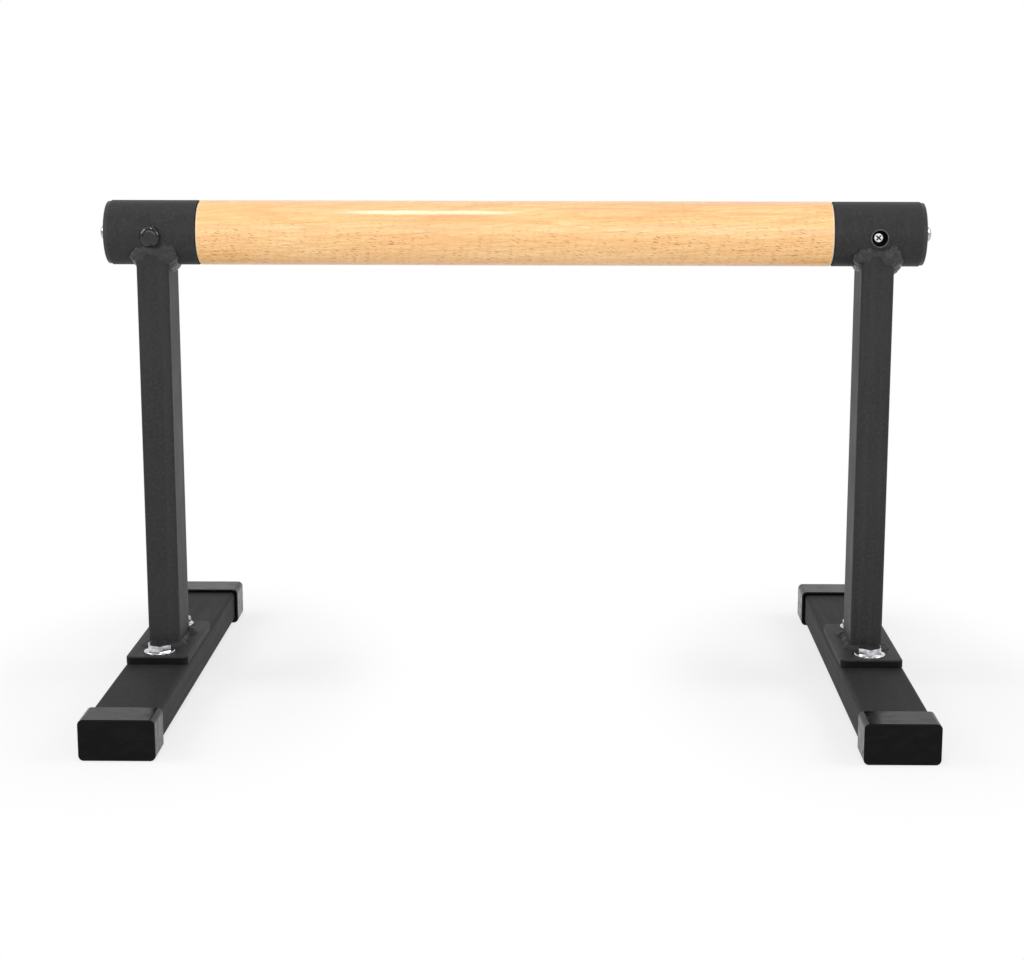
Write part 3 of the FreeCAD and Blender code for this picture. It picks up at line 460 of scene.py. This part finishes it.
def plated_steel(name, pale, dull, smooth, rough, recess=False):
    """Bright plated steel with fine marks and dull patches, and painted shade in a cross recess if there is
    one.
    """
    graph = new_material(name)
    cloud = graph.noise(CLOUD_SCALE, detail=4.0)
    mark = graph.noise(MARK_SCALE)
    colour = graph.tint(grey(pale), grey(dull), cloud, start=0.35, full=0.68)
    if recess:
        # Painted shade in brown inside the cross recess
        in_middle = graph.span(from_screw_axis(graph), *RECESS_RADII, to_low=1.0, to_high=0.0)
        sunk = graph.math("SUBTRACT", SCREW_FACE, graph.math("ABSOLUTE", graph.split()["Y"]))
        share = graph.math("MULTIPLY", in_middle, graph.span(sunk, *RECESS_DEPTHS))
        colour = graph.blend(share, colour, RECESS_SHADE)
    both = graph.math("ADD", cloud, mark)
    roughness = graph.span(both, *TWO_NOISE_SPREAD, to_low=smooth, to_high=rough)
    normal = graph.bump(mark, strength=0.04, distance=0.05 * MM)
    return graph.finish(Base_Color=colour, Roughness=roughness, Normal=normal, Metallic=1.0)


FINISHES = {
    "beech": beech(),
    "powder_coat": powder_coat(
        "powder_coat", pale=1.0, gloss=0.15, smooth=0.46, rough=0.58, streaks=ALONG_POST),
    "weld_coat": powder_coat(
        "weld_coat", pale=1.1, gloss=0.30, smooth=0.30, rough=0.44, streaks=ALL_WAYS),
    "plate_coat": powder_coat(
        "plate_coat", pale=0.9, gloss=0.10, smooth=0.46, rough=0.58, streaks=ALONG_FOOT, shaded_walls=True),
    # A darker copy of the powder coat, painted shade on the feet, which are also duller
    "shaded_foot_coat": powder_coat(
        "shaded_foot_coat", pale=0.65, gloss=0.08, smooth=0.54, rough=0.64, streaks=ALONG_FOOT),
    "cap_plastic": cap_plastic(),
    "foot_rubber": foot_rubber(),
    "black_fastener": glossy_black(),
    "ferrule_black": ferrule_black(),
    "zinc": plated_steel("zinc_plate", pale=0.74, dull=0.34, smooth=0.11, rough=0.22),
    "screw_steel": plated_steel("screw_steel", pale=0.55, dull=0.35, smooth=0.18, rough=0.32),
    "cross_steel": plated_steel("cross_steel", pale=0.88, dull=0.75, smooth=0.18, rough=0.32, recess=True),
}

# Nodes whose finish differs from that of their slot
OTHER_FINISHES = {
    "base_plate": "plate_coat",
    "foot_tube": "shaded_foot_coat",
    "cross_screw": "cross_steel",
    "screw_ferrule": "ferrule_black",
}


def dress_nodes():
    """Give every node the finish of its slot, or its own."""
    for name, node in nodes.items():
        slot = node.data.materials[0].name.split(".")[0]
        piece = name.partition("_")[2]
        node.data.materials.clear()
        node.data.materials.append(FINISHES[OTHER_FINISHES.get(piece, slot)])


# Puddles of the weld on the front of each leg, in millimetres: place across from the middle of the post,
# height above the joint's line, radius, and how far the puddle stands proud of the post
FRONT_PUDDLES = {
    "left": [
        (-10.4, -3.4, 4.0, 1.4),
        (-7.6, -0.6, 4.4, 1.8),
        (-4.0, 0.3, 4.6, 1.8),
        (0.0, -0.3, 4.6, 1.4),
        (4.0, 0.2, 5.0, 2.0),
        (7.4, 0.8, 5.6, 3.0),
        (10.2, 0.2, 5.2, 2.9),
        (11.6, -3.6, 4.6, 2.2),
    ],
    "right": [
        (-11.6, -3.6, 4.4, 1.8),
        (-8.6, -0.4, 4.6, 2.3),
        (-5.6, 0.3, 4.4, 2.1),
        (-1.8, -1.0, 4.0, 1.0),
        (1.4, -1.0, 4.0, 1.2),
        (4.8, -0.8, 4.6, 2.7),
        (8.4, 1.2, 4.6, 2.9),
        (11.0, -1.6, 4.2, 1.9),
        (12.0, -4.6, 3.8, 1.5),
        (9.2, -5.4, 2.2, 1.2),
    ],
}

# Fillets along the two sides of each joint: legs in millimetres, at -X and at +X, how much they change
# and over how many radians, the steps between their balls, and the share of the joint's arc that they fill
SIDE_LEGS = {"left": (3.4, 4.8), "right": (3.6, 5.8)}
SIDE_LEG_CHANGE = 0.7
SIDE_LEG_RUN = 0.3
SIDE_STEPS = 20
SIDE_RUN_SHARE = 0.74

# Fillets round the foot of a post: the pitch of their balls, and their leg and its change in millimetres
BASE_PITCH = 2.1 * MM
BASE_LEG = 2.3
BASE_LEG_CHANGE = 1.5
BASE_LEG_RUN = 5 * MM

# How deep the balls of a fillet sink into both walls, and how deep a bead's hidden back lies below them
FILLET_SINK = 2.4 * MM
BACK_DEPTH = 0.8 * MM

# The skin of a bead, and the fine ripples on it
BALL_SUBDIVISIONS = 3
SKIN_VOXEL = 0.45 * MM
FLOW_FACTOR = 0.5
FLOW_ROUNDS = 6
RIPPLE_HEIGHT = 0.25 * MM
RIPPLE_RUN = 2.0 * MM


def wobble(place, size):
    """A number from -1 to 1 that changes smoothly over a length."""
    return noise.noise(Vector(place) / size)


def fillet_puddle(corner, inward, leg):
    """A ball whose surface runs from one wall to the other, each a leg away from their corner."""
    return corner + inward * FILLET_SINK, math.hypot(leg + FILLET_SINK, FILLET_SINK)


def face_puddles(side, post_x):
    """Centres and radii of the weld on a post's front, and on its back, which is like the other's front."""
    other = "right" if side == "left" else "left"
    puddles = []
    for facing, turn, lumps in ((-1, 1, FRONT_PUDDLES[side]), (1, -1, FRONT_PUDDLES[other])):
        for across, above, radius, proud in lumps:
            x = post_x + turn * across * MM
            y = facing * (POST_HALF_DEPTH + (proud - radius) * MM)
            z = JOINT_HEIGHT + above * MM
            puddles.append((Vector((x, y, z)), radius * MM))
    return puddles


def side_puddles(side, post_x):
    """Centres and radii of the weld along a post's two sides, under the sleeve."""
    puddles = []
    for end, side_leg in zip((-1, 1), SIDE_LEGS[side]):
        for step in range(SIDE_STEPS + 1):
            angle = SIDE_RUN_SHARE * JOINT_ANGLE * (2 * step / SIDE_STEPS - 1)
            outward = Vector((0, math.sin(angle), -math.cos(angle)))
            corner = Vector((post_x + end * POST_HALF_WIDTH, 0, BAR_AXIS_HEIGHT)) + outward * BAR_RADIUS
            leg = (side_leg + SIDE_LEG_CHANGE * wobble((post_x, end, angle), SIDE_LEG_RUN)) * MM
            puddles.append(fillet_puddle(corner, Vector((-end, 0, 0)) - outward, leg))
    return puddles


def base_puddles(post_x):
    """Centres and radii of the weld round the foot of a post, on its plate."""
    walls = ((Vector((1, 0, 0)), POST_HALF_WIDTH, Vector((0, 1, 0)), POST_HALF_DEPTH),
             (Vector((0, 1, 0)), POST_HALF_DEPTH, Vector((1, 0, 0)), POST_HALF_WIDTH))
    middle = Vector((post_x, 0, PLATE_TOP))
    puddles = []
    for along, half, across, other_half in walls:
        steps = round(2 * half / BASE_PITCH)
        for end in (-1, 1):
            for step in range(steps + 1):
                corner = middle + along * half * (2 * step / steps - 1) + across * end * other_half
                leg = (BASE_LEG + BASE_LEG_CHANGE * wobble(corner, BASE_LEG_RUN)) * MM
                puddles.append(fillet_puddle(corner, -end * across - Vector((0, 0, 1)), leg))
    return puddles


def raise_back(point, post_x):
    """Bring a point that lies deep in the plate, sleeve or post up to the hidden back of a bead."""
    point.z = max(point.z, PLATE_TOP - BACK_DEPTH)
    from_axis = Vector((0, point.y, point.z - BAR_AXIS_HEIGHT))
    if from_axis.length < BAR_RADIUS - BACK_DEPTH:
        point += from_axis.normalized() * (BAR_RADIUS - BACK_DEPTH - from_axis.length)
        return
    room_x = POST_HALF_WIDTH - BACK_DEPTH - abs(point.x - post_x)
    room_y = POST_HALF_DEPTH - BACK_DEPTH - abs(point.y)
    if 0 < room_x <= room_y:
        point.x += math.copysign(room_x, point.x - post_x)
    elif 0 < room_y < room_x:
        point.y += math.copysign(room_y, point.y)


def balls_mesh(name, puddles):
    """A mesh with one ball for each puddle, which still overlap."""
    ball = bmesh.new()
    bmesh.ops.create_icosphere(ball, subdivisions=BALL_SUBDIVISIONS, radius=1)
    ball_points = [vertex.co.copy() for vertex in ball.verts]
    ball_faces = [[vertex.index for vertex in face.verts] for face in ball.faces]
    ball.free()
    points = []
    faces = []
    for centre, radius in puddles:
        faces += [[len(points) + index for index in face] for face in ball_faces]
        points += [centre + radius * point for point in ball_points]
    mesh = bpy.data.meshes.new(name)
    mesh.from_pydata(points, [], faces)
    return mesh


def flow_together(bead):
    """Replace the balls of a bead by one smooth skin over them."""
    skin = bead.modifiers.new("skin", "REMESH")
    skin.mode = "VOXEL"
    skin.voxel_size = SKIN_VOXEL
    skin.use_smooth_shade = True
    flow = bead.modifiers.new("flow", "SMOOTH")
    flow.factor = FLOW_FACTOR
    flow.iterations = FLOW_ROUNDS
    merged = bead.evaluated_get(bpy.context.evaluated_depsgraph_get())
    bead.data = bpy.data.meshes.new_from_object(merged)
    bead.modifiers.clear()


def add_weld(node, puddles, post_x, finish):
    """One lumpy bead from overlapping puddles, in place of a weld's node."""
    bead = bpy.data.objects.new(f"{node}_bead", balls_mesh(node, puddles))
    bpy.context.scene.collection.objects.link(bead)
    flow_together(bead)
    normals = [vertex.normal.copy() for vertex in bead.data.vertices]
    for vertex, normal in zip(bead.data.vertices, normals):
        point = vertex.co + normal * RIPPLE_HEIGHT * wobble(vertex.co, RIPPLE_RUN)
        raise_back(point, post_x)
        vertex.co = point
    bead.data.materials.append(FINISHES[finish])
    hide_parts(node)
    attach(bead, "root")


def make_welds():
    for side, sign in (("left", -1), ("right", 1)):
        post_x = sign * FOOT_PLACE
        top_puddles = face_puddles(side, post_x) + side_puddles(side, post_x)
        add_weld(f"{side}_post_top_weld", top_puddles, post_x, "weld_coat")
        add_weld(f"{side}_post_base_weld", base_puddles(post_x), post_x, "powder_coat")


def make_camera():
    camera = bpy.data.objects.new("camera", bpy.data.cameras.new("camera"))
    bpy.context.scene.collection.objects.link(camera)
    camera.data.sensor_width = SENSOR_WIDTH
    camera.data.lens = FOCAL_PIXELS * SENSOR_WIDTH / PHOTO_WIDTH
    camera.data.shift_x = SHIFT_PIXELS / PHOTO_WIDTH
    turn = Matrix.Rotation(math.radians(CAMERA_TURN), 4, "Z")
    tilt = Matrix.Rotation(math.radians(90 - CAMERA_TILT), 4, "X")
    roll = Matrix.Rotation(math.radians(CAMERA_ROLL), 4, "Z")
    camera.matrix_world = Matrix.Translation(CAMERA_PLACE) @ turn @ tilt @ roll
    bpy.context.scene.camera = camera


def fade_edges(lamp):
    """Fade a lamp's light from its middle to its upper and lower edge.

    A smooth fade has half its peak on average, so a peak of 2 keeps the lamp's power.
    """
    middle = 0.5
    peak = 2.0
    graph = Graph(lamp)
    place = graph.add("ShaderNodeNewGeometry").outputs["Parametric"]
    up = graph.split(place)["Y"]
    from_edge = graph.math("MINIMUM", up, graph.math("SUBTRACT", 1.0, up))
    strength = graph.span(from_edge, 0.0, middle, to_low=0.0, to_high=peak, smooth=True)
    graph.feed(graph.tree.nodes["Emission"].inputs["Strength"], strength)


def add_lamp(name, place, target, width, depth, power, soft_edges=False, in_gloss=True):
    """A rectangular lamp that faces a point, and that gloss may show or not."""
    lamp = bpy.data.lights.new(name, "AREA")
    lamp.shape = "RECTANGLE"
    lamp.size = width
    lamp.size_y = depth
    lamp.energy = power
    if soft_edges:
        fade_edges(lamp)
    holder = bpy.data.objects.new(name, lamp)
    bpy.context.scene.collection.objects.link(holder)
    holder.visible_glossy = in_gloss
    place = Vector(place)
    aim = (Vector(target) - place).to_track_quat("-Z", "Y")
    holder.matrix_world = Matrix.Translation(place) @ aim.to_matrix().to_4x4()


def make_lights():
    """Soft light from the front and both sides, and a small lamp above that makes the bar's highlight."""
    front = -1.9
    between_posts = (0, 0, 0.2)
    add_lamp("front_softbox", place=(0, front, 0.9), target=between_posts,
             width=2.0, depth=1.7, power=13, soft_edges=True)
    add_lamp("front_fill", place=(0, front, 0.5), target=between_posts,
             width=2.0, depth=0.6, power=11.5, in_gloss=False)
    side_reach = 1.15
    for name, sign in (("left_softbox", -1), ("right_softbox", 1)):
        add_lamp(name, place=(sign * side_reach, -0.15, 0.9), target=(sign * FOOT_PLACE, 0, 0.1),
                 width=0.7, depth=0.7, power=7)
    highlight_x = -0.13
    add_lamp("top_softbox", place=(highlight_x, -0.18, 1.5), target=(highlight_x, 0, 0.28),
             width=0.19, depth=0.34, power=3.2)


# Share of white that the world gives, and that the room in front of the object shows in gloss, with the
# Y of the directions between which that room turns into the white behind
AMBIENT = 0.27
ROOM_IN_FRONT = 0.45
ROOM_EDGE = (-0.25, 0.15)

# The floor: its half width, how far it lies below the feet, and its share of white
FLOOR_REACH = 6.0
FLOOR_DROP = 0.1 * MM
FLOOR_WHITE = 0.85

# The ellipse round each foot in which the floor shows its shadow, the shares of its radius between which
# the shadow fades, and the share of plain white that is mixed in at its middle
SHADOW_HALF_WIDTH = 0.16
SHADOW_LENGTH_SHARE = 1.7
SHADOW_HALF_LENGTH = SHADOW_LENGTH_SHARE * FOOT_REACH
SHADOW_FADE = (0.5, 1.0)
SHADOW_WHITE = 0.72


def make_world():
    """A dim even light, white to the camera. Gloss shows white behind and a darker room in front."""
    bpy.context.scene.world = bpy.data.worlds.new("studio")
    graph = Graph(bpy.context.scene.world)
    path = graph.add("ShaderNodeLightPath").outputs
    backward = graph.split(graph.coordinates["Generated"])["Y"]
    mirrored = graph.span(backward, *ROOM_EDGE, to_low=ROOM_IN_FRONT, smooth=True)
    strength = graph.choose(path["Is Glossy Ray"], AMBIENT, mirrored)
    seen = graph.math("MAXIMUM", path["Is Camera Ray"], path["Is Transmission Ray"])
    strength = graph.choose(seen, strength, 1.0)
    background = graph.tree.nodes["Background"]
    background.inputs["Color"].default_value = (1, 1, 1, 1)
    graph.feed(background.inputs["Strength"], strength)


def white_floor():
    """White paint that shows the shadow of the feet and turns into the white background further out."""
    graph = new_material("white_floor")
    x, y, _ = graph.split()
    off_foot = graph.math("SUBTRACT", graph.math("ABSOLUTE", x), FOOT_PLACE)
    across = graph.math("DIVIDE", off_foot, SHADOW_HALF_WIDTH)
    along = graph.math("DIVIDE", y, SHADOW_HALF_LENGTH)
    white = graph.span(graph.length(across, along), *SHADOW_FADE, to_low=SHADOW_WHITE, smooth=True)
    path = graph.add("ShaderNodeLightPath").outputs
    seen = graph.math("MAXIMUM", path["Is Camera Ray"], path["Is Glossy Ray"])
    seen = graph.math("MAXIMUM", seen, path["Is Transmission Ray"])
    glow_share = graph.math("MULTIPLY", white, seen)
    diffuse = graph.add("ShaderNodeBsdfDiffuse", Color=(FLOOR_WHITE, FLOOR_WHITE, FLOOR_WHITE, 1))
    glow = graph.add("ShaderNodeEmission", Color=(1, 1, 1, 1), Strength=1.0)
    mix = graph.add("ShaderNodeMixShader")
    for socket, source in zip(mix.inputs, (glow_share, diffuse.outputs[0], glow.outputs[0])):
        graph.feed(socket, source)
    graph.feed(graph.tree.nodes["Material Output"].inputs["Surface"], mix.outputs[0])
    return graph.holder


def make_floor():
    mesh = bpy.data.meshes.new("floor")
    corner_signs = ((-1, -1), (1, -1), (1, 1), (-1, 1))
    corners = [(x * FLOOR_REACH, y * FLOOR_REACH, -FLOOR_DROP) for x, y in corner_signs]
    mesh.from_pydata(corners, [], [(0, 1, 2, 3)])
    mesh.materials.append(white_floor())
    floor = bpy.data.objects.new("floor", mesh)
    bpy.context.scene.collection.objects.link(floor)


bpy.context.scene.view_settings.view_transform = "Standard"
dress_nodes()
make_welds()
make_camera()
make_lights()
make_world()
make_floor()
